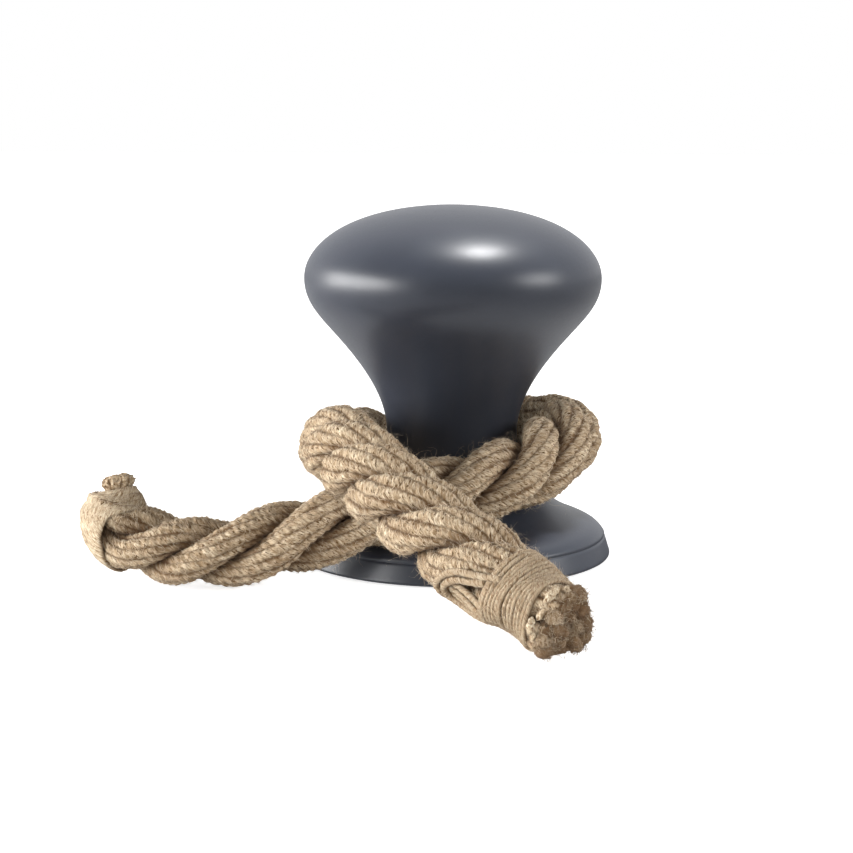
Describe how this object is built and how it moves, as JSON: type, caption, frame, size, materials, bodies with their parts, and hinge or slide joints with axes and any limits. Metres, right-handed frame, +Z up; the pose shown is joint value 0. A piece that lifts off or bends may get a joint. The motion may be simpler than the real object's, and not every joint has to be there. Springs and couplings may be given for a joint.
{
  "type": "bollard post",
  "caption": "Cast waisted bollard post with a broad domed head and flared foot, a laid natural fibre rope turned round its neck with whipped ends.",
  "frame": {"origin": "centre of the floor pad's underside, on the post's axis", "axes": "+Z up along the post's axis, -Y towards the side where the rope crosses itself, +X to the right seen from there"},
  "size_m": [0.1898, 0.2269, 0.13],
  "materials": {
    "painted_casting": "satin slate paint",
    "plated_steel": "zinc plated",
    "pad_rubber": "matt",
    "jute_rope": "natural laid jute",
    "jute_twine": "natural jute twine"
  },
  "bodies": {
    "post": {"post_casting": "painted_casting", "base_plate": "plated_steel", "plate_screws": "plated_steel", "deck_bolt_nut": "plated_steel", "floor_pad": "pad_rubber"},
    "rope_loop": {"strand_a_loop": "jute_rope", "strand_b_loop": "jute_rope", "strand_c_loop": "jute_rope"},
    "left_tail": {"strand_a_left_tail": "jute_rope", "strand_b_left_tail": "jute_rope", "strand_c_left_tail": "jute_rope", "left_whipping": "jute_twine"},
    "right_tail": {"strand_a_right_tail": "jute_rope", "strand_b_right_tail": "jute_rope", "strand_c_right_tail": "jute_rope", "right_whipping": "jute_twine"}
  },
  "joints": [
    {"name": "rope_turn", "type": "hinge", "parent": "post", "child": "rope_loop", "pos_m": [0, 0, 0.04], "axis": [0, 0, 1], "continuous": true},
    {"name": "left_tail_lift", "type": "hinge", "parent": "rope_loop", "child": "left_tail", "pos_m": [-0.0714, -0.0613, 0.0269], "axis": [-0.0725, 0.9974, 0], "range_deg": [0, 25]},
    {"name": "right_tail_lift", "type": "hinge", "parent": "rope_loop", "child": "right_tail", "pos_m": [-0.0045, -0.1174, 0.0488], "axis": [-0.732, -0.6813, 0], "range_deg": [0, 25]}
  ]
}
